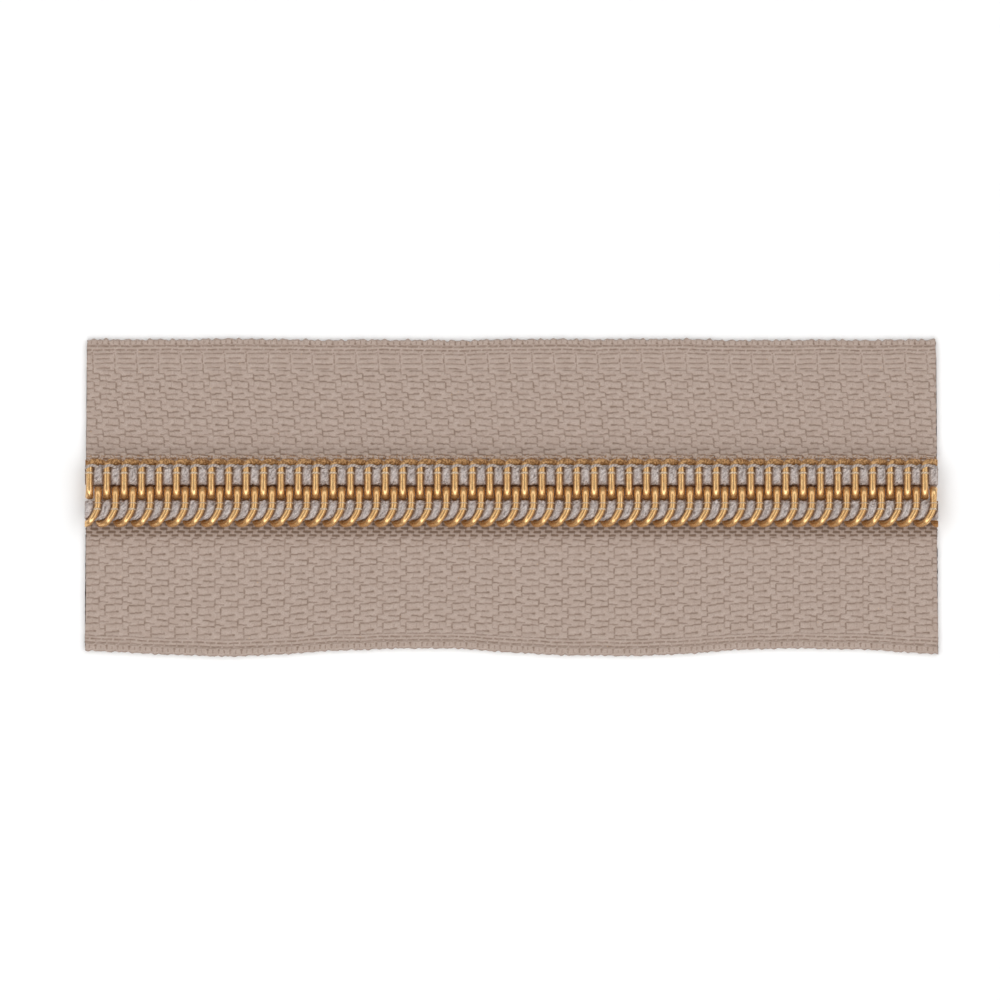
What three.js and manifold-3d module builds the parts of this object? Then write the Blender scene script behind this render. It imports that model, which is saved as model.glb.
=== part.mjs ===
// A cut length of closed coil zipper chain, in millimetres.
//
// X runs along the chain, Z is up, and the teeth meet over the X axis. The tapes lie flat on the plane
// Z = 0 with the coils on top of them. "Left" is the +Y half and "right" is the -Y half. Each half, or
// stringer, is a woven tape, a plastic filament wound into a flat coil whose turns are the teeth, a
// filler cord that runs inside the coil, and two rows of chain stitch that sew coil and cord to the tape.
// Each tape is made as the strip that is sewn under the coil and the flap that folds along the coil's back.

import * as THREE from "three";
import { mergeVertices } from "three/addons/utils/BufferGeometryUtils.js";
import Module from "manifold-3d";

// Driving dimensions.
const PITCH = 1.58; // from one tooth of a coil to its next
const TEETH = 49; // on each coil
const LENGTH = PITCH * TEETH;
const TAPE_THICKNESS = 0.5;
const TAPE_EDGE = 14.45; // from the centre line to a tape's outer edge
const TAPE_INNER_EDGE = 0.8; // from the centre line to the edge under the teeth
const FOLD_LINE = 3.6; // from the centre line to the line that a flap folds along
const STRIP_TO_FOLD = 0.42; // room that a folding flap's thickness takes beside the fold line
const FLAP_TO_FOLD = 0.03;

const FILAMENT = 0.6; // diameter of the coil's filament
const HEAD_REACH = 0.62; // how far a tooth passes the centre line
const COIL_BACK = 3.15; // from the centre line to the coil's back
const COIL_HEIGHT = 1.95; // over the tape
const STRAIGHT_END = 1.3; // from the centre line to where a leg starts to lean over to the next tooth
const LEAN_AT_BACK = 0.2; // the share of a pitch that it has leant where the back bend starts
const FIRST_TOOTH = 0.25; // of a pitch, from the chain's cut end to the left coil's first tooth

const CORD_FRONT = 0.85; // the filler cord's sides, from the centre line
const CORD_BACK = 2.45;
const THREAD = 0.16; // diameter of the sewing thread
const NEEDLE_DIP = 0.3; // how far the needle thread sinks between two teeth
const LEFT_ROWS = [1.7, 2.25]; // the stitch rows, from the centre line
const RIGHT_ROWS = [1.15, 1.78];
const CLEARANCE = 0.03; // between pieces that lie on each other

// Heights that follow from them.
const COIL_FLOOR = TAPE_THICKNESS + CLEARANCE;
const COIL_TOP = TAPE_THICKNESS + COIL_HEIGHT;
const LOW_LEG = COIL_FLOOR + FILAMENT / 2; // centre of the filament's lower leg
const HIGH_LEG = COIL_TOP - FILAMENT / 2;
const BEND = (HIGH_LEG - LOW_LEG) / 2; // radius of the bends at a loop's head and back
const HEAD_BEND = -HEAD_REACH + FILAMENT / 2 + BEND; // centres of those bends, from the centre line
const BACK_BEND = COIL_BACK - FILAMENT / 2 - BEND;

const wasm = await Module();
wasm.setup();

// A closed three.js geometry as a manifold-3d solid.
function solidOf(geometry) {
  const bare = geometry.index ? geometry.toNonIndexed() : geometry.clone();
  bare.deleteAttribute("normal");
  bare.deleteAttribute("uv");
  const merged = mergeVertices(bare, 1e-4);
  return new wasm.Manifold(
    new wasm.Mesh({
      numProp: 3,
      vertProperties: merged.attributes.position.array,
      triVerts: new Uint32Array(merged.index.array),
    }),
  );
}

// A manifold-3d solid as a three.js geometry.
function geometryOf(solid) {
  const mesh = solid.getMesh();
  const geometry = new THREE.BufferGeometry();
  geometry.setAttribute("position", new THREE.BufferAttribute(mesh.vertProperties, 3));
  geometry.setIndex(new THREE.BufferAttribute(mesh.triVerts, 1));
  geometry.computeVertexNormals();
  return geometry;
}

// One loop of the coil is a lower leg, a head bend, an upper leg and a back bend. Its outline, seen
// along the chain, is [distance from the centre line, height, share of a pitch that it has leant]. The
// back half of one leg and the back bend carry the filament over to the next tooth.
function loopPoint(station) {
  const angle = (degrees) => THREE.MathUtils.degToRad(degrees);
  const head = (degrees) => [
    HEAD_BEND - BEND * Math.sin(angle(degrees)),
    LOW_LEG + BEND * (1 - Math.cos(angle(degrees))),
    0,
  ];
  const back = (degrees, lean) => [
    BACK_BEND + BEND * Math.sin(angle(degrees)),
    LOW_LEG + BEND * (1 + Math.cos(angle(degrees))),
    lean,
  ];
  const stations = [
    [BACK_BEND, LOW_LEG, 0],
    head(0),
    head(55),
    head(125),
    head(180),
    [STRAIGHT_END, HIGH_LEG, 0],
    back(0, LEAN_AT_BACK),
    back(50, 0.46),
    back(110, 0.84),
  ];
  return stations[station];
}
const STATIONS = 9; // rings of facets on each loop

// The filament's centre line over the whole chain, with one point of the curve for each station of each
// loop, so that every loop gets the same facets. The loops run from the +X end to the -X end. An upright
// coil leans on its upper leg, and a flipped one is the same coil turned half over about the chain, so it
// leans on its lower leg.
class FilamentCurve extends THREE.Curve {
  constructor(side, flipped, firstTooth) {
    super();
    Object.assign(this, { side, flipped, firstTooth });
    this.loops = TEETH + 2; // one more than is kept at each end, for the cut
  }
  steps() {
    return this.loops * STATIONS;
  }
  getPoint(t, target = new THREE.Vector3()) {
    const place = Math.min(t * this.steps(), this.steps() - 1e-6);
    const whole = Math.floor(place);
    const loop = Math.floor(whole / STATIONS);
    const from = loopPoint(whole % STATIONS);
    const [backAcross, backHeight] = loopPoint(0);
    const to = (whole + 1) % STATIONS ? loopPoint((whole % STATIONS) + 1) : [backAcross, backHeight, 1];
    const mixed = from.map((value, i) => THREE.MathUtils.lerp(value, to[i], place - whole));
    const height = this.flipped ? LOW_LEG + HIGH_LEG - mixed[1] : mixed[1];
    const tooth = TEETH - loop - mixed[2];
    return target.set(-LENGTH / 2 + this.firstTooth + tooth * PITCH, this.side * mixed[0], height);
  }
  getPointAt(u, target) {
    return this.getPoint(u, target); // stations, not equal lengths
  }
  getTangentAt(u, target = new THREE.Vector3()) {
    const reach = 0.5 / this.steps();
    const ahead = this.getPoint(Math.min(u + reach, 1));
    return target.copy(ahead).sub(this.getPoint(Math.max(u - reach, 0))).normalize();
  }
}

// A regular polygon as a shape, standing on a flat side.
function roundSection(radius, sides) {
  const corners = Array.from({ length: sides }, (_, i) => {
    const turn = ((i + 0.5) / sides) * 2 * Math.PI;
    return new THREE.Vector2(radius * Math.cos(turn), radius * Math.sin(turn));
  });
  return new THREE.Shape(corners);
}

// The coil: the filament swept along its curve, and cut flush at both ends of the chain.
function coil(side, flipped, firstTooth) {
  const path = new FilamentCurve(side, flipped, firstTooth);
  const swept = new THREE.ExtrudeGeometry(roundSection(FILAMENT / 2, 6), {
    steps: path.steps(),
    extrudePath: path,
  });
  const keep = new THREE.BoxGeometry(LENGTH, 4 * COIL_BACK, 4 * COIL_TOP);
  return geometryOf(solidOf(swept).intersect(solidOf(keep)));
}

// A profile in the (distance from the centre line, height) plane, drawn out over the chain's whole length.
function alongChain(shape, side) {
  const geometry = new THREE.ExtrudeGeometry(shape, {
    depth: LENGTH,
    bevelEnabled: false,
    curveSegments: 4,
  });
  const turn = new THREE.Matrix4().makeBasis(
    new THREE.Vector3(0, side, 0),
    new THREE.Vector3(0, 0, 1),
    new THREE.Vector3(side, 0, 0),
  );
  turn.setPosition((-side * LENGTH) / 2, 0, 0);
  return geometry.applyMatrix4(turn);
}

// The cord's section: a flat oval that fills the coil between its legs.
function fillerCord(side) {
  const low = LOW_LEG + FILAMENT / 2 + CLEARANCE;
  const high = HIGH_LEG - FILAMENT / 2 - CLEARANCE;
  const radius = (high - low) / 2;
  const shape = new THREE.Shape();
  shape.absarc(CORD_BACK - radius, low + radius, radius, -Math.PI / 2, Math.PI / 2);
  shape.absarc(CORD_FRONT + radius, low + radius, radius, Math.PI / 2, (3 * Math.PI) / 2);
  return alongChain(shape, side);
}

// The strip of tape under the coil, with a groove under each stitch row for the looper thread.
function sewnStrip(side, rows) {
  const half = THREAD / 2 + CLEARANCE;
  const depth = THREAD + 2 * CLEARANCE;
  const outline = [
    [TAPE_INNER_EDGE, 0],
    ...rows.flatMap((row) => [
      [row - half, 0],
      [row - half, depth],
      [row + half, depth],
      [row + half, 0],
    ]),
    [FOLD_LINE - STRIP_TO_FOLD, 0],
    [FOLD_LINE - STRIP_TO_FOLD, TAPE_THICKNESS],
    [TAPE_INNER_EDGE, TAPE_THICKNESS],
  ];
  return alongChain(new THREE.Shape(outline.map(([x, y]) => new THREE.Vector2(x, y))), side);
}

// The rest of the tape, from its fold line to its outer edge.
function flap(side) {
  const inner = FOLD_LINE + FLAP_TO_FOLD;
  const shape = new THREE.Shape([
    new THREE.Vector2(inner, 0),
    new THREE.Vector2(TAPE_EDGE, 0),
    new THREE.Vector2(TAPE_EDGE, TAPE_THICKNESS),
    new THREE.Vector2(inner, TAPE_THICKNESS),
  ]);
  return alongChain(shape, side);
}

// The needle thread passes over every upper leg and dips towards the cord in every gap. The curve has one
// point over each leg and one in each gap.
class NeedleCurve extends THREE.Curve {
  constructor(y, firstLeg) {
    super();
    Object.assign(this, { y, firstLeg });
    const half = PITCH / 2;
    const inside = Array.from({ length: 2 * TEETH }, (_, i) => (firstLeg % half) + i * half);
    this.places = [0, ...inside, LENGTH];
  }
  steps() {
    return this.places.length - 1;
  }
  getPoint(t, target = new THREE.Vector3()) {
    const place = Math.min(t * this.steps(), this.steps() - 1e-6);
    const whole = Math.floor(place);
    const along = THREE.MathUtils.lerp(this.places[whole], this.places[whole + 1], place - whole);
    const fromLeg = (along - this.firstLeg) / PITCH;
    const gap = Math.abs(fromLeg - Math.round(fromLeg)) * 2; // 0 over a leg, 1 halfway to the next
    const crest = COIL_TOP + CLEARANCE + THREAD / 2;
    return target.set(along - LENGTH / 2, this.y, crest - NEEDLE_DIP * gap);
  }
  getTangentAt(u, target = new THREE.Vector3()) {
    return target.set(1, 0, 0); // sections stay upright, so the cut ends are flush
  }
  getPointAt(u, target) {
    return this.getPoint(u, target);
  }
}

function needleThread(y, firstLeg) {
  const path = new NeedleCurve(y, firstLeg);
  return new THREE.ExtrudeGeometry(roundSection(THREAD / 2, 4), {
    steps: path.steps(),
    extrudePath: path,
  });
}

// The looper thread lies in its groove under the tape.
function looperThread(side, row) {
  const shape = new THREE.Shape();
  shape.absarc(row, THREAD / 2 + CLEARANCE, THREAD / 2, 0, 2 * Math.PI);
  return alongChain(shape, side);
}

const GOLD_FILAMENT = { color: 0xc2924c, roughness: 0.28, metalness: 0.75 };
const TAPE_CLOTH = { color: 0xb3a093, roughness: 0.92, metalness: 0 };
const CORD_YARN = { color: 0xa79c97, roughness: 0.95, metalness: 0 };
const SEWING_THREAD = { color: 0xc0b4ad, roughness: 0.7, metalness: 0 };

const zipper = new THREE.Group();

function add(name, geometry, look) {
  const mesh = new THREE.Mesh(geometry, new THREE.MeshStandardMaterial(look));
  mesh.name = name;
  zipper.add(mesh);
}

// How far along the chain a coil's first upper leg crosses a stitch row. A leaning leg has moved by then.
function legAtRow(row, firstTooth, flipped) {
  const lean = THREE.MathUtils.mapLinear(row, STRAIGHT_END, BACK_BEND, 0, LEAN_AT_BACK);
  return flipped ? firstTooth : firstTooth - Math.max(0, lean) * PITCH;
}

const halves = [
  { name: "left", side: 1, flipped: true, firstTooth: FIRST_TOOTH * PITCH, rows: LEFT_ROWS },
  {
    name: "right",
    side: -1,
    flipped: false,
    firstTooth: (FIRST_TOOTH + 0.5) * PITCH,
    rows: RIGHT_ROWS,
  },
];
for (const { name, side, flipped, firstTooth, rows } of halves) {
  add(`${name}_coil`, coil(side, flipped, firstTooth), GOLD_FILAMENT);
  add(`${name}_filler_cord`, fillerCord(side), CORD_YARN);
  add(`${name}_tape_sewn_strip`, sewnStrip(side, rows), TAPE_CLOTH);
  add(`${name}_tape_flap`, flap(side), TAPE_CLOTH);
  rows.forEach((row, i) => {
    const place = ["inner", "outer"][i];
    const leg = legAtRow(row, firstTooth, flipped);
    add(`${name}_${place}_needle_thread`, needleThread(side * row, leg), SEWING_THREAD);
    add(`${name}_${place}_looper_thread`, looperThread(side, row), SEWING_THREAD);
  });
}

export default zipper;
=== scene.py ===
"""A length of closed coil zipper chain, in metres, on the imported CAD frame.

X runs along the chain, Z is up, and the teeth meet over the X axis. Sizes below are in millimetres
unless they say otherwise. "Across" is the distance from the centre line.
"""

import math

import bmesh
import bpy
import numpy as np
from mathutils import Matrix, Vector


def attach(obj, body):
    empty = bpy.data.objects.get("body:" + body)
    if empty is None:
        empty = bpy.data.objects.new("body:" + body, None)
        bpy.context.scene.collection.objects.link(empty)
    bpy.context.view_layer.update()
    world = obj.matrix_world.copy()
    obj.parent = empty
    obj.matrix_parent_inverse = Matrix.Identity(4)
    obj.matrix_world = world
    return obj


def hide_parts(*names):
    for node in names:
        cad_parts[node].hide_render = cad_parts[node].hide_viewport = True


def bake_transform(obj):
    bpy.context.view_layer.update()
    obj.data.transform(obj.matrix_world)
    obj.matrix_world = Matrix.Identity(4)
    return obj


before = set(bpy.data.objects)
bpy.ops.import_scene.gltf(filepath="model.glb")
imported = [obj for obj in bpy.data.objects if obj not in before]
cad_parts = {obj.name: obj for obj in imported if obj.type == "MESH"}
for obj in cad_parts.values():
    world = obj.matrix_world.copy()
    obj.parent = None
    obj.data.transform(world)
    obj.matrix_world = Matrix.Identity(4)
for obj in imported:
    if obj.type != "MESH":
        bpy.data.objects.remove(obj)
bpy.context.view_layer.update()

MM = 0.001
SIDES = {"left": 1, "right": -1}

# The chain, as in the CAD.
PITCH = 1.58
TEETH = 49
LENGTH = PITCH * TEETH
TAPE_THICKNESS = 0.5
TAPE_INNER_EDGE = 0.8
TAPE_EDGE = 14.45
FOLD_LINE = 3.6
FILAMENT = 0.6
HEAD_REACH = 0.62
COIL_BACK = 3.15
COIL_FLOOR = 0.53
COIL_TOP = 2.45
FIRST_TOOTH = {"left": 0.25, "right": 0.75}  # pitches from the -X end
FLIPPED = {"left": True, "right": False}

LOW_LEG = COIL_FLOOR + FILAMENT / 2
HIGH_LEG = COIL_TOP - FILAMENT / 2
BEND = (HIGH_LEG - LOW_LEG) / 2
HEAD_BEND = -HEAD_REACH + FILAMENT / 2 + BEND
BACK_BEND = COIL_BACK - FILAMENT / 2 - BEND


# Arithmetic on arrays.


def smoothstep(low, high, x):
    t = np.clip((np.asarray(x, float) - low) / (high - low), 0, 1)
    return t * t * (3 - 2 * t)


def waves(x, seed, wavelengths, sizes):
    """A smooth wander along x: a sum of sines with seeded phases."""
    phases = np.random.default_rng(seed).uniform(0, 2 * math.pi, len(wavelengths))
    return sum(a * np.sin(2 * math.pi * x / w + p) for w, a, p in zip(wavelengths, sizes, phases))


# Mesh building.


def piece(name, points, faces, loop_uvs=None, attributes=None):
    """A smooth object from points in millimetres. Faces with over four corners are flat end caps."""
    mesh = bpy.data.meshes.new(name)
    mesh.from_pydata((np.asarray(points) * MM).tolist(), [], [list(map(int, f)) for f in faces])
    corners = np.array([len(f) for f in faces])
    mesh.polygons.foreach_set("use_smooth", corners <= 4)
    for cap in np.flatnonzero(corners > 4):
        for key in mesh.polygons[cap].loop_indices:
            mesh.edges[mesh.loops[key].edge_index].use_edge_sharp = True
    if loop_uvs is not None:
        layer = mesh.uv_layers.new(name="UVMap")
        layer.data.foreach_set("uv", np.asarray(loop_uvs, np.float32).ravel())
    for key, values in (attributes or {}).items():
        layer = mesh.attributes.new(key, "FLOAT_VECTOR", "POINT")
        layer.data.foreach_set("vector", np.asarray(values, np.float32).ravel())
    mesh.update()
    made = bpy.data.objects.new(name, mesh)
    bpy.context.scene.collection.objects.link(made)
    return made


def ring_faces(rings, sides):
    """Quads between successive rings of a tube, then its two end caps."""
    i, j = (k.ravel() for k in np.meshgrid(np.arange(rings - 1), np.arange(sides), indexing="ij"))
    k = (j + 1) % sides
    quads = np.stack([i * sides + j, (i + 1) * sides + j, (i + 1) * sides + k, i * sides + k], -1)
    first = list(range(sides))
    last = [(rings - 1) * sides + side for side in reversed(range(sides))]
    return quads.tolist() + [first, last]


def outward(faces, name):
    """The faces, turned to look outwards on the right side too, whose points are mirrored."""
    return faces if SIDES[name] > 0 else [face[::-1] for face in faces]


def ring_uvs(along, sides):
    """Loop UVs to match ring_faces: U is once round the tube, and V is millimetres along it."""
    i, j = (k.ravel() for k in np.meshgrid(np.arange(len(along) - 1), np.arange(sides), indexing="ij"))
    u = np.stack([j, j, j + 1, j + 1], -1) / sides
    v = np.stack([along[i], along[i + 1], along[i + 1], along[i]], -1)
    return np.concatenate([np.stack([u, v], -1).reshape(-1, 2), np.zeros((2 * sides, 2))])


def sweep(path, across, sides, half_width, half_height, power=2.0):
    """Rings of an oval section along a path. across is the direction of each ring's width, and the half
    sizes may vary along the path. A power above 2 squares the oval's corners off. Returns the points and
    how far along the path each ring is."""
    path = np.asarray(path, float)
    tangent = np.gradient(path, axis=0)
    tangent /= np.linalg.norm(tangent, axis=1)[:, None]
    side = np.broadcast_to(across, path.shape) - tangent * np.sum(tangent * across, 1)[:, None]
    side /= np.linalg.norm(side, axis=1)[:, None]
    up = np.cross(tangent, side)
    turn = 2 * math.pi * (np.arange(sides) + 0.5) / sides
    c, s = np.cos(turn), np.sin(turn)
    c, s = np.sign(c) * np.abs(c) ** (2 / power), np.sign(s) * np.abs(s) ** (2 / power)
    width = np.broadcast_to(half_width, len(path))[:, None, None]
    height = np.broadcast_to(half_height, len(path))[:, None, None]
    rings = path[:, None] + side[:, None] * c[None, :, None] * width
    rings = rings + up[:, None] * s[None, :, None] * height
    along = np.concatenate([[0], np.cumsum(np.linalg.norm(np.diff(path, axis=0), axis=1))])
    return rings, along


def tube(name, path, across, sides, half_width, half_height=None, power=2.0):
    """A closed tube along a path in millimetres."""
    half_height = half_width if half_height is None else half_height
    rings, along = sweep(path, across, sides, half_width, half_height, power)
    return piece(name, rings.reshape(-1, 3), ring_faces(len(rings), sides), ring_uvs(along, sides))


# Node helpers.


class Nodes:
    """A material's node tree, with a short way to add and join nodes."""

    def __init__(self, name):
        self.material = bpy.data.materials.new(name)
        self.material.use_nodes = True
        self.tree = self.material.node_tree
        self.tree.nodes.clear()

    def add(self, kind, inputs=None, output=0, **settings):
        """Adds a node, sets or links its inputs, and returns one of its outputs."""
        node = self.tree.nodes.new("ShaderNode" + kind)
        for key, value in settings.items():
            setattr(node, key, value)
        for key, value in (inputs or {}).items():
            socket = node.inputs[key]
            if isinstance(value, bpy.types.NodeSocket):
                self.tree.links.new(value, socket)
            else:
                socket.default_value = value
        return node.outputs[output] if node.outputs else None

    def math(self, operation, *values, clamp=False):
        return self.add("Math", dict(enumerate(values)), operation=operation, use_clamp=clamp)

    def vector(self, operation, *values, output=0):
        return self.add("VectorMath", dict(enumerate(values)), output, operation=operation)

    def scaled(self, vector, factor):
        return self.add("VectorMath", {0: vector, "Scale": factor}, operation="SCALE")

    def remap(self, value, low, high, to_low=0.0, to_high=1.0, smooth=True):
        settings = {"interpolation_type": "SMOOTHSTEP" if smooth else "LINEAR"}
        inputs = {"Value": value, "From Min": low, "From Max": high, "To Min": to_low, "To Max": to_high}
        return self.add("MapRange", inputs, **settings)

    def mix(self, factor, a, b):
        """Mixes two colours."""
        node = self.tree.nodes.new("ShaderNodeMix")
        node.data_type = "RGBA"
        for index, value in ((0, factor), (6, a), (7, b)):
            if isinstance(value, bpy.types.NodeSocket):
                self.tree.links.new(value, node.inputs[index])
            else:
                node.inputs[index].default_value = value
        return node.outputs[2]

    def noise(self, vector, scale, detail=2.0, roughness=0.5):
        inputs = {"Vector": vector, "Scale": scale, "Detail": detail, "Roughness": roughness}
        return self.add("TexNoise", inputs)

    def bump(self, height, distance, strength=1.0):
        """A surface normal from a height of 0 to 1, which stands for a distance in millimetres."""
        return self.add("Bump", {"Height": height, "Distance": distance * MM, "Strength": strength})

    def finish(self, **inputs):
        """Ends the tree in a Principled BSDF, with underscores in input names for spaces."""
        named = {key.replace("_", " "): value for key, value in inputs.items()}
        shader = self.add("BsdfPrincipled", named)
        self.add("OutputMaterial", {"Surface": shader})
        return self.material


def rgb(red, green, blue):
    """A colour from 0-255 display values, as linear light."""
    values = np.array([red, green, blue]) / 255
    linear = np.where(values <= 0.04045, values / 12.92, ((values + 0.055) / 1.055) ** 2.4)
    return (*linear.tolist(), 1.0)


# The stage comes first: camera, lights and floor.

CAMERA_TILT = math.radians(10.5)  # from straight overhead, towards the right stringer's side
CAMERA_DISTANCE = 1.0  # metres
FRAME_WIDTH = 90.9  # of the picture, at the point that the camera aims at
AIM = (-1.04, -0.42, 0.25)
SKY = 0.33  # strength of the studio overall
RING = 1.15  # strength of the band of light round the camera
RING_HEIGHTS = (0.50, 0.64, 0.86, 0.93)  # where the band starts, is full, starts to fade and ends
RING_FRONT, RING_BACK = 1.42, 1.0  # the band's share of its strength, in front and behind
RING_TURN = 0.6  # how far to the front and the back that takes
FRONT_LIGHT = ((0.0, -0.76, 0.54), 0.50, 1.5)  # place and width in metres, and watts
FLOOR_SIZE = 3.0  # metres


def make_camera():
    data = bpy.data.cameras.new("camera")
    data.sensor_width = 36
    data.lens = data.sensor_width * CAMERA_DISTANCE / (FRAME_WIDTH * MM)
    data.clip_start, data.clip_end = 0.01, 20
    camera = bpy.data.objects.new("camera", data)
    bpy.context.scene.collection.objects.link(camera)
    back = Vector((0, -math.sin(CAMERA_TILT), math.cos(CAMERA_TILT)))
    camera.location = Vector(AIM) * MM + back * CAMERA_DISTANCE
    camera.rotation_euler = (CAMERA_TILT, 0, 0)
    bpy.context.scene.camera = camera


def make_light(name, location, size, energy):
    """A square soft light that faces the middle of the chain."""
    data = bpy.data.lights.new(name, "AREA")
    data.shape, data.size, data.energy = "SQUARE", size, energy
    light = bpy.data.objects.new(name, data)
    light.location = location
    light.rotation_euler = (-Vector(location)).to_track_quat("-Z", "Y").to_euler()
    bpy.context.scene.collection.objects.link(light)


def make_world():
    """A dim studio with a band of light round the camera, brighter in front. Heights and sides are
    those of the direction that the light comes from."""
    world = bpy.data.worlds.new("studio")
    world.use_nodes = True
    tree = world.node_tree
    where = tree.nodes.new("ShaderNodeTexCoord")
    split = tree.nodes.new("ShaderNodeSeparateXYZ")
    tree.links.new(where.outputs["Generated"], split.inputs[0])

    def ramp(axis, low, high, to_low, to_high):
        node = tree.nodes.new("ShaderNodeMapRange")
        node.interpolation_type = "SMOOTHSTEP"
        tree.links.new(split.outputs[axis], node.inputs["Value"])
        for index, value in enumerate((low, high, to_low, to_high), 1):
            node.inputs[index].default_value = value
        return node.outputs[0]

    def combine(operation, a, b):
        node = tree.nodes.new("ShaderNodeMath")
        node.operation = operation
        for socket, value in zip(node.inputs, (a, b)):
            if isinstance(value, bpy.types.NodeSocket):
                tree.links.new(value, socket)
            else:
                socket.default_value = value
        return node.outputs[0]

    start, full, fading, end = RING_HEIGHTS
    ring = combine("MULTIPLY", ramp("Z", start, full, 0, RING), ramp("Z", fading, end, 1, 0))
    ring = combine("MULTIPLY", ring, ramp("Y", -RING_TURN, RING_TURN, RING_FRONT, RING_BACK))
    tree.links.new(combine("ADD", ring, SKY), tree.nodes["Background"].inputs["Strength"])
    tree.nodes["Background"].inputs["Color"].default_value = (1, 1, 1, 1)
    bpy.context.scene.world = world


def make_floor():
    half = FLOOR_SIZE / 2
    corners = [(-half, -half, 0), (half, -half, 0), (half, half, 0), (-half, half, 0)]
    mesh = bpy.data.meshes.new("floor")
    mesh.from_pydata(corners, [], [(0, 1, 2, 3)])
    floor = bpy.data.objects.new("floor", mesh)
    bpy.context.scene.collection.objects.link(floor)
    n = Nodes("floor_paint")
    where = n.add("TexCoord", output="Object")
    shade = n.remap(n.noise(where, 40, 4), 0.3, 0.7, smooth=False)
    white = n.mix(shade, rgb(250, 250, 250), rgb(253, 253, 253))
    mesh.materials.append(n.finish(Base_Color=white, Roughness=0.9, Specular_IOR_Level=0.1))


def make_stage():
    make_camera()
    make_world()
    make_light("front", *FRONT_LIGHT)
    make_floor()
    bpy.context.scene.view_settings.view_transform = "Standard"


# The coils.


# How a leg leans over to the next tooth: where along the loop it starts, over what length, and how late
# on that length it does most of it. The left coil leans only where it bends at its back.
LEANS = {"left": (2.30, 1.85, 1.0), "right": (1.0, 3.2, 1.25)}
SQUARE = 0.78  # 1 for a round bend at the back, and less for a squarer one
LEG_POINTS, BEND_POINTS = 12, 14  # of the filament's path, along each leg and round each bend
SECTION_SIDES, SECTION_POWER = 16, 2.35  # of the filament, and its half sizes
HALF_WIDTH, HALF_HEIGHT = 0.285, 0.30
MESHED_WIDTH, MESHED_HEIGHT = 0.025, -0.015  # added where the teeth mesh
PRESSED_WIDTH = 0.075  # added there at mid height
MESHING = (0.95, 0.25)  # across, where the filament starts to mesh and meshes fully


def lean(name, across, height):
    """How far, in pitches, the filament has leant to the next tooth at a place in the coil's section."""
    if FLIPPED[name]:
        height = LOW_LEG + HIGH_LEG - height
    middle = (LOW_LEG + HIGH_LEG) / 2
    start, length, late = LEANS[name]
    turned = np.arctan2(np.clip(across - BACK_BEND, 0, None), height - middle)
    run = np.where(across > BACK_BEND, BACK_BEND + BEND * turned, across)
    run = np.where((across <= BACK_BEND) & (height < middle), start + length, run)
    return smoothstep(0, 1, (np.clip(run - start, 0, None) / length) ** late)


def coil_loop():
    """One loop of an upright coil, as rows of (across, height), from the back along the lower leg to
    the head and back along the upper leg."""
    leg = np.linspace(0, 1, LEG_POINTS, endpoint=False)
    turn = np.linspace(0, math.pi, BEND_POINTS, endpoint=False)
    span = BACK_BEND - HEAD_BEND
    lower = np.stack([BACK_BEND - span * leg, np.full(LEG_POINTS, LOW_LEG)], 1)
    head = np.stack([HEAD_BEND - BEND * np.sin(turn), LOW_LEG + BEND * (1 - np.cos(turn))], 1)
    upper = np.stack([HEAD_BEND + span * leg, np.full(LEG_POINTS, HIGH_LEG)], 1)
    out, up = np.sin(turn) ** SQUARE, np.sign(np.cos(turn)) * np.abs(np.cos(turn)) ** SQUARE
    back = np.stack([BACK_BEND + BEND * out, HIGH_LEG - BEND * (1 - up)], 1)
    return np.concatenate([lower, head, upper, back])


def make_coil(name, gold):
    """The filament, wound into its loops and cut flush at both ends of the chain. It is pressed wider
    and flatter where the teeth mesh, and widest at mid height."""
    side = SIDES[name]
    loop = coil_loop()
    across, height = loop[:, 0], loop[:, 1]
    if FLIPPED[name]:
        height = LOW_LEG + HIGH_LEG - height
    upright = np.arange(len(loop)) < LEG_POINTS + BEND_POINTS
    leant = np.where(upright, 0, lean(name, across, height))
    count = TEETH + 2
    tooth = np.repeat(np.arange(count), len(loop)) + np.tile(leant, count)
    x = -LENGTH / 2 + (FIRST_TOOTH[name] + TEETH - tooth) * PITCH
    across, height = np.tile(across, count), np.tile(height, count)
    path = np.stack([x, side * across, height], 1)
    meshing = smoothstep(*MESHING, across)
    midway = np.sin(math.pi * np.clip((height - LOW_LEG) / (HIGH_LEG - LOW_LEG), 0, 1))
    half_width = HALF_WIDTH + meshing * (MESHED_WIDTH + PRESSED_WIDTH * midway)
    half_height = HALF_HEIGHT + meshing * MESHED_HEIGHT
    title = name + "_coil_filament"
    coil = tube(title, path, (1, 0, 0), SECTION_SIDES, half_width, half_height, SECTION_POWER)
    cut_ends(coil)
    coil.data.materials.append(gold)
    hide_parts(name + "_coil")
    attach(coil, name + "_stringer")


def cut_ends(made):
    """Cuts a mesh off square at both ends of the chain and closes the cuts."""
    mesh = bmesh.new()
    mesh.from_mesh(made.data)
    for end in (-1, 1):
        plane = Vector((end * LENGTH / 2 * MM, 0, 0))
        everything = mesh.verts[:] + mesh.edges[:] + mesh.faces[:]
        cut = bmesh.ops.bisect_plane(
            mesh, geom=everything, plane_co=plane, plane_no=(end, 0, 0), clear_outer=True, dist=1e-8
        )
        edges = [e for e in cut["geom_cut"] if isinstance(e, bmesh.types.BMEdge)]
        for face in bmesh.ops.holes_fill(mesh, edges=edges, sides=0)["faces"]:
            face.smooth = False
            for edge in face.edges:
                edge.smooth = False
    mesh.to_mesh(made.data)
    mesh.free()


# The filler cords.

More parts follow.
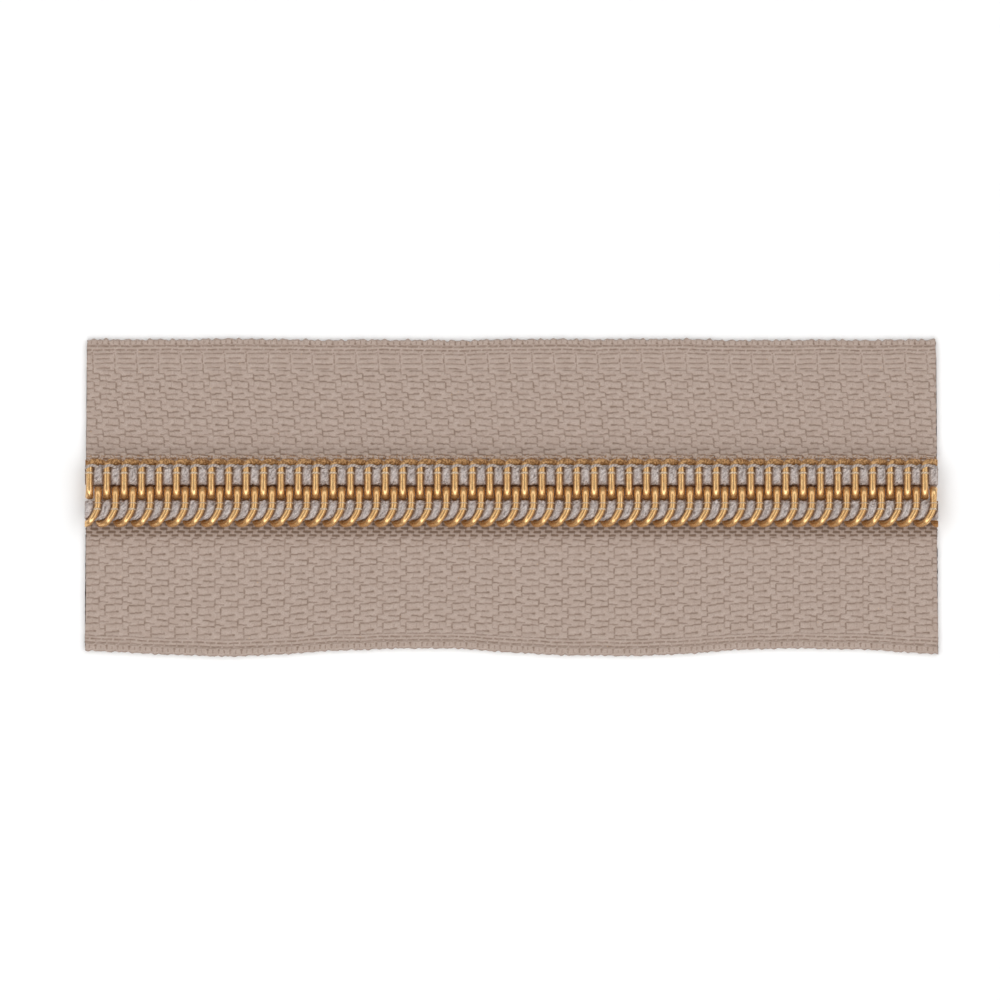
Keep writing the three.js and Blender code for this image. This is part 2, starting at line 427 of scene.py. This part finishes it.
CORD_INNER, CORD_OUTER = 0.76, 2.42  # across
CORD_LOW, CORD_HIGH = 1.15, 1.83  # between the legs' inner sides
CORD_SIDES, CORD_RINGS = 56, 32  # round it, and to a pitch
CORD_SQUARE = 0.75  # 1 for an oval section, and less for a squarer one
BULGE = {"outer": 0.12, "top": 0.42, "under": 0.40}  # out between two legs
PINCHED = (0.13, 0.40)  # pitches from a leg, where the bulge starts and is full
BUNDLES = 10  # of fibre, round the cord
TWIST = 0.62  # along the cord, from one bundle to the next
BUNDLE_WANDER = 0.8  # how far the bundles stray, in radians
BUNDLE_BREADTH = 0.7  # below 1, the bundles are broad and the grooves between them narrow
BUNDLE_MIDDLE = 0.6  # of a bundle's height, what is level with the cord's surface
LUMP_WAVES = 18
LUMP_RELIEF, BUNDLE_RELIEF = 0.032, 0.080
HOLE_WIDTH, HOLE_DEPTH = 0.14, 0.09  # of the hollow at each stitch


def leg_phase(name, x, across, height):
    """Pitches from the filament's nearest passage through a place in the coil's section, -0.5 to 0.5."""
    turns = (x + LENGTH / 2) / PITCH - FIRST_TOOTH[name] + lean(name, across, height)
    return turns - np.round(turns)


def lumps(x, turn, seed):
    """Uneven swellings over a cord's surface, about -2 to 2, as waves in seeded directions."""
    rng = np.random.default_rng(seed)
    total = 0
    for _ in range(LUMP_WAVES):
        round_it, wavelength = rng.integers(-7, 8), rng.uniform(0.30, 1.2)
        phase = rng.uniform(0, 2 * math.pi)
        total = total + np.sin(2 * math.pi * x / wavelength + round_it * turn + phase)
    return total / math.sqrt(LUMP_WAVES / 2)


def cord_surface(name, rows):
    """The filler cord's points, in rings along the chain, and its nap: how lumpy, how bundled and how
    swollen each point is."""
    side = SIDES[name]
    x = np.linspace(-LENGTH / 2, LENGTH / 2, TEETH * CORD_RINGS + 1)
    turn = 2 * math.pi * np.arange(CORD_SIDES) / CORD_SIDES
    c, s = np.cos(turn), np.sin(turn)
    c, s = np.sign(c) * np.abs(c) ** CORD_SQUARE, np.sign(s) * np.abs(s) ** CORD_SQUARE
    xs, turns = np.meshgrid(x, turn, indexing="ij")
    across = (CORD_INNER + CORD_OUTER) / 2 + (CORD_OUTER - CORD_INNER) / 2 * c + 0 * xs
    height = (CORD_HIGH + CORD_LOW) / 2 + (CORD_HIGH - CORD_LOW) / 2 * s + 0 * xs
    swollen = smoothstep(*PINCHED, np.abs(leg_phase(name, xs, across, height)))
    lumpy = lumps(xs, turns, 31 + side)
    slant = BUNDLES / 2 * turns + side * math.pi * xs / TWIST
    slant = slant + BUNDLE_WANDER * lumps(xs, turns, 41 + side)
    bundles = np.abs(np.sin(slant)) ** BUNDLE_BREADTH
    relief = swollen * (LUMP_RELIEF * lumpy + BUNDLE_RELIEF * (bundles - BUNDLE_MIDDLE))
    holes = sum(np.exp(-(((across - row) / HOLE_WIDTH) ** 2)) for row in rows) * (s > 0)
    across = across + (np.where(c > 0, BULGE["outer"], 0) * swollen + relief) * c
    height = height + (np.where(s > 0, BULGE["top"], BULGE["under"]) * swollen + relief) * s
    height = height - HOLE_DEPTH * holes * swollen
    return np.stack([xs, side * across, height], -1), np.stack([lumpy, bundles, swollen], -1)


def make_cord(name, rows, yarn):
    """The filler cord: flat where the legs press on it, and swollen into the gaps between them, with its
    slanting bundles of fibre. The stitches draw it in at their holes."""
    points, nap = cord_surface(name, rows)
    faces = outward(ring_faces(len(points), CORD_SIDES), name)
    cord = piece(name + "_filler_yarn", points.reshape(-1, 3), faces, None, {"nap": nap})
    cord.data.materials.append(yarn)
    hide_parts(name + "_filler_cord")
    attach(cord, name + "_stringer")


# The sewing threads.

THREAD = 0.15  # thickness of a thread that isn't pressed
NEEDLE_RINGS, LOOPER_RINGS = 32, 28  # to a pitch
NEEDLE_SIDES, LOOPER_SIDES = 10, 8
NEEDLE_FLAT = 0.045  # half the height of a needle thread, pressed flat
NEEDLE_TOP = COIL_TOP + 0.005  # over a leg
NEEDLE_DIP = 0.75  # down into each hole
NEEDLE_SAG = 0.15  # where it is off the leg
OFF_LEG = (0.15, 0.45)  # pitches from a leg, where a thread leaves it and is clear of it
ARCH_MIDDLE = 0.6  # of an arch, what is on the thread's row
LOOPER_REACH, LOOPER_SWAY = 0.36, 0.13  # along the chain, in pitches, and across, in millimetres
LOOPER_HEIGHT, LOOPER_RISE = 0.135, 0.055
STITCH_ROWS = {"left": (1.70, 2.25), "right": (1.08, 1.62)}  # across, the inner row and the outer one
# How each needle thread lies: its half width in millimetres, how far past the leg its crest is, half the
# crest's length and the length it falls over, in pitches, and how far back it arches, in millimetres.
NEEDLE_LAY = {
    ("left", "inner"): (0.090, 0.0, 0.12, 0.14, 0.0),
    ("left", "outer"): (0.130, 0.18, 0.30, 0.16, 0.32),
    ("right", "inner"): (0.040, 0.0, 0.13, 0.14, 0.0),
    ("right", "outer"): (0.080, 0.0, 0.12, 0.14, 0.04),
}


def make_needle_thread(name, place, row, thread):
    """A needle thread: pressed flat over each upper leg, and down into its hole in each gap."""
    side = SIDES[name]
    width, shift, crest, fall, arch = NEEDLE_LAY[name, place]
    x = np.linspace(-LENGTH / 2, LENGTH / 2, TEETH * NEEDLE_RINGS + 1)
    phase = leg_phase(name, x - shift * PITCH, row, HIGH_LEG)
    dip = smoothstep(crest, crest + fall, np.abs(phase))
    across = row + arch * (np.cos(math.pi * phase) - ARCH_MIDDLE)
    off_leg = smoothstep(*OFF_LEG, np.abs(leg_phase(name, x, row, HIGH_LEG)))
    height = NEEDLE_TOP - NEEDLE_SAG * off_leg - NEEDLE_DIP * dip
    path = np.stack([x, side * across, height], 1)
    made = tube(f"{name}_{place}_needle_strand", path, (0, 1, 0), NEEDLE_SIDES, width, NEEDLE_FLAT)
    made.data.materials.append(thread)
    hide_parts(f"{name}_{place}_needle_thread")
    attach(made, name + "_stringer")


def make_looper_thread(name, place, row, thread):
    """A looper thread: a chain of loops under the tape, one to a stitch, each caught in the next."""
    side = SIDES[name]
    start = leg_phase(name, np.array([-LENGTH / 2]), row, HIGH_LEG)[0]
    t = np.linspace(0, TEETH, TEETH * LOOPER_RINGS + 1)
    turn = 2 * math.pi * (t + start)
    fade = smoothstep(0, 0.5, np.minimum(t, TEETH - t))
    x = -LENGTH / 2 + (t - LOOPER_REACH * fade * np.sin(turn)) * PITCH
    across = row + LOOPER_SWAY * np.cos(turn)
    height = LOOPER_HEIGHT + LOOPER_RISE * np.sin(turn)
    path = np.stack([np.clip(x, -LENGTH / 2, LENGTH / 2), side * across, height], 1)
    made = tube(f"{name}_{place}_looper_strand", path, (0, 0, 1), LOOPER_SIDES, THREAD / 2)
    made.data.materials.append(thread)
    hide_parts(f"{name}_{place}_looper_thread")
    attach(made, name + "_stringer")


# The tapes.

TAPE_RINGS = 600
RIM = 0.22  # width of the rounded outer edge
RIM_TURNS = (1.05, 0.5, 0, -0.5, -1.05)  # where its points are, in radians up from level
# The rows of points on each face of the tape: across, from and to, and how many.
TAPE_SPANS = ((0.86, 3.0, 22), (3.0, 4.4, 14), (4.4, 13.3, 30), (13.3, TAPE_EDGE - RIM, 11))
INNER_RIM = ((0.0, -0.5, 0.12), (-0.03, 0, 0.25), (0.0, 0.5, 0.38))  # out from the edge, layer, height
LOOPER_GROOVE = (0.29, 0.27)  # half width and depth
FRAY, FRAY_REACH = 0.10, 0.2  # how uneven the cut ends are, and how far in that starts
LOOP_BAND = (TAPE_EDGE - 0.5, TAPE_EDGE - 0.1)  # across, where the edge's loops start to stick out
SCALLOP = 1.02  # length of a selvedge loop
WEAVE_CELL = {"left": (2.00, 1.70), "right": (2.10, 1.80)}  # its repeat, along and across
WANDER = ((0.5, 0.24), (2.7, 0.10), (8.0, 0.05))  # how the weave strays: how finely, and how far
GROOVE_WIDTH, PILLOW_WIDTH = 0.13, 0.26  # how far out from a groove its colour and its slope reach
GROOVE_SHADES = (0.50, 0.88)  # how strong that colour is, from the faintest groove to the darkest
STACKED_HEIGHT, STACKED_START = 0.90, 13.08  # of a row, and across, where the rows are counted from
PLAIN_WEAVE = {"left": 3.45, "right": 3.88}  # across, where the plain weave beside the coil ends
PLAIN_CELL = (1.045, 0.68)
PLAIN_PHASE = {"left": 0.37, "right": 0.0}  # in cells, of its rows
FINE_LAG = 0.10  # in cells, of the selvedge's fine rows behind those
SHEAR = {"left": 0.07, "right": 0.0}  # of the weave's columns
WEAVE_START = {"left": (0.37, 0.17), "right": (0.56, 0.36)}  # in cells
STACKED = {"left": 11.55, "right": 13.0}  # across, where the bricks of the weave stack up in columns
SELVEDGE = {"left": 13.22, "right": 13.0}  # across, where the selvedge's fine rows start
LOOPS = {"left": 0.60, "right": 0.68}  # depth of the selvedge loops
BESIDE_COIL = {"left": 0.15, "right": 1.0}  # how much stronger that colour is beside the coil
# How much the cloth is painted there, with painted light beside the left coil and painted shade beside
# the right one, and towards what colour.
PAINTED_LIGHT_AND_SHADE_BESIDE_COIL = {"left": (0.60, (232, 214, 200)), "right": (0.10, (112, 88, 70))}
EDGE_WAVE = {"left": 0.05, "right": 0.36}  # how far the outer edge sways
EDGE_WAVELENGTH = 35.4
EDGE_ROUGHNESS = {"left": 1.1, "right": 0.7}  # how unevenly the loops stick out


def tape_outer_edge(name, x):
    """Across, the tape's outer edge, as a slow wave and the uneven outline of the selvedge's loops."""
    slow = EDGE_WAVE[name] * np.sin(2 * math.pi * x / EDGE_WAVELENGTH)
    slow = slow + waves(x, seed=11, wavelengths=(13, 6.1), sizes=(0.03, 0.02))
    lengths = (SCALLOP, 0.67, 0.55, 2.3)
    loops = waves(x, seed=5 + SIDES[name], wavelengths=lengths, sizes=(0.05, 0.03, 0.03, 0.02))
    loops += np.random.default_rng(8 + SIDES[name]).uniform(-0.02, 0.02, len(x))
    return TAPE_EDGE + slow, EDGE_ROUGHNESS[name] * loops


def tape_rows():
    """The tape's section as rows of (across, layer, height). Layer is 1 on the coil side and -1 on the
    underside."""
    spans = [np.linspace(*span, endpoint=False) for span in TAPE_SPANS]
    flat, half = np.concatenate([*spans, [TAPE_EDGE - RIM]]), TAPE_THICKNESS / 2
    top = [(across, 1.0, TAPE_THICKNESS) for across in flat]
    rim = [(math.cos(turn), math.sin(turn)) for turn in RIM_TURNS]
    rim = [(TAPE_EDGE - RIM + RIM * out, up, half + half * up) for out, up in rim]
    bottom = [(across, -1.0, 0.0) for across in flat[::-1]]
    inner = [(TAPE_INNER_EDGE + out, layer, height) for out, layer, height in INNER_RIM]
    return np.array(top + rim + bottom + inner)


def tape_surface(name):
    """The tape's points, in rings along the chain, and where each is on the flat cloth."""
    side = SIDES[name]
    x = np.linspace(-LENGTH / 2, LENGTH / 2, TAPE_RINGS)
    rows = tape_rows()
    xs, flat = np.meshgrid(x, rows[:, 0], indexing="ij")
    layer, height = (np.broadcast_to(rows[:, column], xs.shape) for column in (1, 2))
    cloth = np.stack([xs, side * flat, layer], -1)
    edge, loops = tape_outer_edge(name, x)
    share = np.clip((flat - FOLD_LINE) / (TAPE_EDGE - FOLD_LINE), 0, 1)
    across = flat + share * (edge - TAPE_EDGE)[:, None]
    across = across + smoothstep(*LOOP_BAND, flat) * loops[:, None]
    width, depth = LOOPER_GROOVE
    grooves = [np.exp(-(((flat - row) / width) ** 4)) for row in STITCH_ROWS[name]]
    height = height + depth * np.maximum(*grooves) * (layer < -0.9)
    ends = np.clip(1 - (LENGTH / 2 - np.abs(xs)) / FRAY_REACH, 0, 1)
    rng = np.random.default_rng(21 + side)
    xs = xs - np.sign(xs) * ends * rng.uniform(0, FRAY, xs.shape)
    return np.stack([xs, side * across, height], -1), cloth


def make_tape(name, material):
    """A tape, from under the coil to its looped outer edge, in one sheet."""
    points, cloth = tape_surface(name)
    faces = outward(ring_faces(*points.shape[:2]), name)
    tape = piece(name + "_woven_tape", points.reshape(-1, 3), faces, None, {"cloth": cloth})
    tape.data.materials.append(material)
    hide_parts(name + "_tape_sewn_strip", name + "_tape_flap")
    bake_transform(tape)


# Materials.


def part(n, vector, axis):
    """One of a vector's three parts."""
    return n.add("SeparateXYZ", {0: vector}, axis)


def groove_distance(n, uv, cell, lines):
    """Distance in millimetres from the nearest groove of a repeating cell. Each line is
    (u from, v from, u to, v to, shallowness in millimetres), in cells, along one axis."""
    nearest = None
    for u0, v0, u1, v1, shallow in lines:
        centre = ((u0 + u1) / 2, (v0 + v1) / 2, 0)
        half = (abs(u1 - u0) / 2, abs(v1 - v0) / 2, 0)
        offset = n.vector("SUBTRACT", uv, centre)
        offset = n.vector("WRAP", offset, (0.5, 0.5, 0.5), (-0.5, -0.5, -0.5))
        beyond = n.vector("SUBTRACT", n.vector("ABSOLUTE", offset), half)
        beyond = n.vector("MULTIPLY", n.vector("MAXIMUM", beyond, (0, 0, 0)), (*cell, 0))
        distance = n.vector("LENGTH", beyond, output=1)
        if shallow:
            distance = n.math("ADD", distance, shallow)
        nearest = distance if nearest is None else n.math("SMOOTH_MIN", nearest, distance, 0.08)
    return nearest


# The grooves between the yarns of one cell of the weave.
WEAVE_LINES = (
    (0.05, 0.01, 0.37, 0.01, 0.0),
    (0.42, -0.03, 0.72, -0.03, 0.0),
    (0.00, 0.07, 0.00, 0.32, 0.0),
    (0.01, 0.43, 0.01, 0.54, 0.01),
    (0.06, 0.40, 0.30, 0.40, 0.01),
    (0.33, 0.37, 0.56, 0.37, 0.0),
    (0.53, 0.36, 0.57, 0.36, -0.03),
    (0.80, 0.24, 0.95, 0.24, 0.02),
    (0.78, 0.57, 0.96, 0.57, 0.02),
    (0.26, 0.67, 0.50, 0.67, 0.0),
    (0.52, 0.70, 0.70, 0.70, 0.0),
    (0.75, 0.63, 0.75, 0.90, 0.0),
    (0.80, 0.85, 0.94, 0.85, 0.01),
    (0.98, 0.88, 1.13, 0.88, 0.02),
    (0.47, 0.06, 0.47, 0.30, 0.07),
    (0.47, 0.76, 0.47, 0.90, 0.07),
    (0.31, 0.46, 0.31, 0.62, 0.075),
    (0.75, 0.02, 0.75, 0.20, 0.06),
)
STACKED_LINES = (
    (0.10, 0.0, 0.88, 0.0, 0.01),
    (0.26, 0.5, 0.80, 0.5, 0.015),
    (0.01, 0.12, 0.01, 0.46, 0.01),
    (-0.01, 0.60, -0.01, 0.90, 0.035),
    (0.50, 0.1, 0.50, 0.4, 0.07),
)
PLAIN_LINES = (
    (0.02, 0.0, 0.48, 0.0, -0.03),
    (0.52, 0.5, 0.98, 0.5, -0.03),
    (0.0, 0.05, 0.0, 0.45, 0.06),
    (0.5, 0.55, 0.5, 0.95, 0.06),
)
SELVEDGE_LINES = (
    (0.04, 0.0, 0.80, 0.0, 0.0),
    (0.56, 0.5, 1.28, 0.5, 0.0),
    (0.92, 0.1, 0.92, 0.4, 0.05),
)
LOOP_LINES = (
    (0.0, 0.22, 0.0, 0.68, 0.02),
    (0.48, 0.30, 0.48, 0.62, 0.03),
    (0.0, 0.26, 0.02, 0.26, -0.03),
    (0.10, 0.0, 0.80, 0.0, 0.02),
)


def weave_zones(n, name, at):
    """Distances from the grooves of four weaves, at wandering places on the flat cloth: the main one,
    its stacked rows, the plain one beside the coil and the selvedge's fine rows."""
    side, (start_u, start_v) = SIDES[name], WEAVE_START[name]
    width, height = WEAVE_CELL[name]
    across = part(n, at, 1)
    along = n.math("MULTIPLY_ADD", across, SHEAR[name], part(n, at, 0))
    sheared = n.add("CombineXYZ", {"X": along, "Y": across})
    uv = n.vector("MULTIPLY", sheared, (-side / width, -1 / height, 0))
    main = groove_distance(n, n.vector("ADD", uv, (start_u, start_v, 0)), (width, height), WEAVE_LINES)
    uv = n.vector("MULTIPLY", sheared, (-side / width, side / STACKED_HEIGHT, 0))
    uv = n.vector("SUBTRACT", uv, (-start_u, STACKED_START / STACKED_HEIGHT, 0))
    stacked = groove_distance(n, uv, (width, STACKED_HEIGHT), STACKED_LINES)
    uv = n.vector("MULTIPLY", at, (1 / PLAIN_CELL[0], 1 / PLAIN_CELL[1], 0))
    fine_uv = n.vector("SUBTRACT", uv, (0, PLAIN_PHASE[name] - FINE_LAG, 0))
    uv = n.vector("SUBTRACT", uv, (0, PLAIN_PHASE[name], 0))
    plain = groove_distance(n, uv, PLAIN_CELL, PLAIN_LINES)
    return main, stacked, plain, groove_distance(n, fine_uv, PLAIN_CELL, SELVEDGE_LINES)


def weave_grooves(n, name, cloth, across):
    """Distance from the nearest groove anywhere on the tape."""
    at = cloth
    for scale, size in WANDER:
        wander = n.add("TexNoise", {"Vector": cloth, "Scale": scale, "Detail": 2.0}, 1)
        at = n.vector("ADD", at, n.scaled(n.vector("SUBTRACT", wander, (0.5, 0.5, 0.5)), size))
    main, stacked, plain, fine = weave_zones(n, name, at)
    inward = n.math("DIVIDE", n.math("SUBTRACT", TAPE_EDGE, across), LOOPS[name])
    along = n.math("DIVIDE", part(n, at, 0), SCALLOP)
    uv = n.add("CombineXYZ", {"X": along, "Y": n.math("SUBTRACT", 1.0, inward)})
    loops = groove_distance(n, uv, (SCALLOP, LOOPS[name]), LOOP_LINES)
    groove = n.add("Mix", {0: n.math("LESS_THAN", across, PLAIN_WEAVE[name]), 2: main, 3: plain})
    zones = (STACKED[name], stacked), (SELVEDGE[name], fine), (TAPE_EDGE - LOOPS[name], loops)
    for start, zone in zones:
        groove = n.add("Mix", {0: n.math("GREATER_THAN", across, start), 2: groove, 3: zone})
    return groove


def gold_dust(n, cloth):
    """How much gold dust there is at a place on the cloth: fine specks, far apart."""
    dust = n.add("TexVoronoi", {"Vector": cloth, "Scale": 1.1})
    picked = n.add("SeparateColor", {0: dust.node.outputs["Color"]}, 0)
    picked = n.math("GREATER_THAN", picked, 0.55)
    return n.math("MULTIPLY", n.math("LESS_THAN", dust, 0.035), n.math("MULTIPLY", picked, 0.8))


def rubbed_gold(n, cloth, across):
    """How much gold has come off the coil onto the cloth close beside it, by rubbing."""
    wear_and_shade = n.remap(n.noise(cloth, 6.0, 3.0, 0.7), 0.46, 0.60)
    return n.math("MULTIPLY", wear_and_shade, n.remap(across, 3.45, 3.95, 0.8, 0.0))


def tape_cloth(name):
    """Woven polyester. The weave is drawn in the cloth's flat coordinates, so it bends with the tape."""
    n = Nodes(name + "_tape_cloth")
    cloth = n.add("Attribute", output="Vector", attribute_name="cloth")
    across = n.math("ABSOLUTE", part(n, cloth, 1))
    groove = weave_grooves(n, name, cloth, across)
    fibres = n.noise(n.vector("MULTIPLY", cloth, (5.0, 22.0, 1.0)), 1.0, 3.0, 0.6)
    specks = n.noise(cloth, 11.0, 3.0, 0.7)
    patch = n.noise(n.vector("MULTIPLY", cloth, (0.9, 2.3, 1.0)), 1.0, 2.0)
    coil_side = n.remap(part(n, cloth, 2), -0.5, 0.5)
    beside_coil = n.math("MULTIPLY", n.remap(across, 3.3, 4.2, 1.0, 0.0), coil_side)
    shade = n.remap(n.noise(cloth, 2.3, 2.0), 0.35, 0.65, *GROOVE_SHADES)
    shade = n.math("MULTIPLY_ADD", beside_coil, BESIDE_COIL[name], shade)
    line = n.math("MULTIPLY", n.remap(groove, 0.0, GROOVE_WIDTH, 1.0, 0.0), shade, clamp=True)
    grain = n.math("ADD", n.math("MULTIPLY", fibres, 0.5), n.math("MULTIPLY", specks, 0.6))
    colour = n.mix(n.remap(patch, 0.3, 0.7), rgb(181, 162, 150), rgb(191, 173, 162))
    colour = n.mix(n.remap(grain, 0.38, 0.70), n.mix(0.8, colour, rgb(160, 141, 130)), colour)
    # Painted light beside the left coil, and painted shade beside the right one.
    share, painted_tone = PAINTED_LIGHT_AND_SHADE_BESIDE_COIL[name]
    colour = n.mix(n.math("MULTIPLY", beside_coil, share), colour, rgb(*painted_tone))
    colour = n.mix(line, colour, rgb(122, 101, 86))
    colour = n.mix(gold_dust(n, cloth), colour, rgb(226, 176, 108))
    if name == "left":
        wear_and_shade = n.math("MULTIPLY", rubbed_gold(n, cloth, across), coil_side)
        colour = n.mix(wear_and_shade, colour, rgb(158, 108, 56))
    pillow = n.remap(groove, 0.0, PILLOW_WIDTH)
    height = n.math("ADD", n.math("MULTIPLY", pillow, 0.8), n.math("MULTIPLY", grain, 0.22))
    return n.finish(
        Base_Color=colour,
        Roughness=n.remap(fibres, 0.2, 0.8, 0.92, 0.78, smooth=False),
        Specular_IOR_Level=0.25,
        Sheen_Weight=0.15,
        Sheen_Roughness=0.5,
        Normal=n.bump(height, 0.075),
    )


def gold_filament(name):
    """Metallised nylon, with fine lines drawn along it, darker marks and a faint painted glow. On the
    back of the left coil it is less metallic and rougher, and coloured with painted shade speckled with
    lighter dust."""
    n = Nodes(name + "_gold_filament")
    uv = n.add("TexCoord", output="UV")
    round_it, along = n.math("MULTIPLY", part(n, uv, 0), 2 * math.pi), part(n, uv, 1)
    ring = {"X": n.math("COSINE", round_it), "Y": n.math("SINE", round_it)}
    ring["Z"] = n.math("MULTIPLY", along, 0.35)
    lines = n.noise(n.add("CombineXYZ", ring), 7.0, 4.0, 0.6)
    ring["Z"] = n.math("MULTIPLY", along, 2.0)
    marks = n.noise(n.add("CombineXYZ", ring), 1.6, 4.0, 0.6)
    gold = n.mix(n.remap(lines, 0.3, 0.7), rgb(208, 163, 105), rgb(238, 203, 148))
    gold = n.mix(n.remap(marks, 0.35, 0.7), n.mix(0.5, gold, rgb(190, 142, 88)), gold)
    roughness = n.remap(marks, 0.3, 0.7, 0.30, 0.20, smooth=False)
    metallic, coat = 0.84, 0.45
    if name == "left":
        # On the back of the left coil: painted shade, speckled with lighter dust, and a less metallic,
        # rougher finish.
        mm = n.scaled(n.add("TexCoord", output="Object"), 1000)
        speckle = n.noise(mm, 4.5, 3.0, 0.7)
        dusty_painted_shade = n.mix(n.remap(speckle, 0.44, 0.58), rgb(96, 58, 18), rgb(204, 164, 116))
        wear_and_shade = n.remap(n.math("ABSOLUTE", part(n, mm, 1)), 2.20, 2.62)
        gold = n.mix(n.math("MULTIPLY", wear_and_shade, 0.85), gold, dusty_painted_shade)
        metallic = n.math("MULTIPLY_ADD", wear_and_shade, -0.5, metallic)
        roughness = n.math("MULTIPLY_ADD", wear_and_shade, 0.35, roughness)
        coat = n.math("MULTIPLY_ADD", wear_and_shade, -0.45, coat)
    return n.finish(
        Base_Color=gold,
        Metallic=metallic,
        # A faint painted glow, which lightens the shade in the gaps between the teeth.
        Emission_Color=rgb(196, 134, 76),
        Emission_Strength=0.11,
        Roughness=roughness,
        Coat_Weight=coat,
        Coat_Roughness=0.12,
        Normal=n.bump(lines, 0.015, 0.6),
    )


def spun_yarn():
    """Soft grey filler yarn, with painted shade between its bundles of fibre, in its hollows and at its
    outer end, and gold-brown painted shade and reflection where the legs press it.
    """
    n = Nodes("spun_yarn")
    nap = n.add("Attribute", output="Vector", attribute_name="nap")
    lumpy, bundles, swollen = (part(n, nap, axis) for axis in range(3))
    mm = n.scaled(n.add("TexCoord", output="Object"), 1000)
    turned = n.add("VectorRotate", {"Vector": mm, "Angle": math.radians(52)}, rotation_type="Z_AXIS")
    twist = n.noise(n.vector("MULTIPLY", turned, (9.0, 2.0, 3.0)), 1.0, 4.0, 0.65)
    fluff = n.noise(mm, 8.0, 4.0, 0.7)
    colour = n.mix(n.remap(twist, 0.35, 0.65), rgb(150, 136, 131), rgb(204, 193, 188))
    colour = n.mix(n.remap(fluff, 0.42, 0.72), colour, n.mix(0.7, colour, rgb(232, 225, 222)))
    # Painted shade between the bundles and in the hollows between lumps.
    painted_shade = n.remap(bundles, 0.15, 0.75, 0.75, 0.0)
    painted_shade = n.math("MULTIPLY", painted_shade, n.remap(lumpy, -1.2, 1.0, 1.0, 0.4))
    across = n.math("ABSOLUTE", part(n, mm, 1))
    # Painted shade at the cord's outer end, under the back of the coil.
    painted_shade = n.math("MAXIMUM", painted_shade, n.remap(across, 2.25, 2.75, 0.0, 0.65))
    colour = n.mix(painted_shade, colour, rgb(98, 82, 74))
    # Painted shade, warmed by painted reflection of the gold, where the legs press the cord.
    colour = n.mix(n.remap(swollen, 0.05, 0.8, 0.85, 0.0), colour, rgb(152, 114, 76))
    height = n.math("ADD", twist, n.math("MULTIPLY", fluff, 0.5))
    return n.finish(
        Base_Color=colour,
        Roughness=0.95,
        Specular_IOR_Level=0.2,
        Sheen_Weight=0.2,
        Normal=n.bump(height, 0.10),
    )


PLIES, PLIES_PASSED = 2.0, 3.5  # round the thread, and in a millimetre along it


def twisted_thread(name, groove, ply_colour):
    """Fine polyester thread: two plies, seen as slanting grooves."""
    n = Nodes(name)
    uv = n.add("TexCoord", output="UV")
    slant = n.math("MULTIPLY", part(n, uv, 1), PLIES_PASSED)
    turns = n.math("ADD", n.math("MULTIPLY", part(n, uv, 0), PLIES), slant)
    ply = n.math("ABSOLUTE", n.math("SINE", n.math("MULTIPLY", turns, math.pi)))
    return n.finish(
        Base_Color=n.mix(ply, groove, ply_colour),
        Roughness=0.55,
        Specular_IOR_Level=0.4,
        Sheen_Weight=0.1,
        Normal=n.bump(ply, 0.02, 0.8),
    )


# The whole chain.


def main():
    make_stage()
    yarn = spun_yarn()
    bright = twisted_thread("bright_thread", rgb(165, 143, 120), rgb(214, 194, 168))
    # A copy of the thread in painted shade, for the left coil's outer needle thread, which runs over the
    # coil's back.
    shaded_thread = twisted_thread("thread_in_painted_shade", rgb(128, 114, 106), rgb(186, 172, 162))
    for name in SIDES:
        make_coil(name, gold_filament(name))
        make_cord(name, STITCH_ROWS[name], yarn)
        for place, row in zip(("inner", "outer"), STITCH_ROWS[name]):
            needle = shaded_thread if (name, place) == ("left", "outer") else bright
            make_needle_thread(name, place, row, needle)
            make_looper_thread(name, place, row, bright)
        make_tape(name, tape_cloth(name))
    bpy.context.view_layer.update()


main()
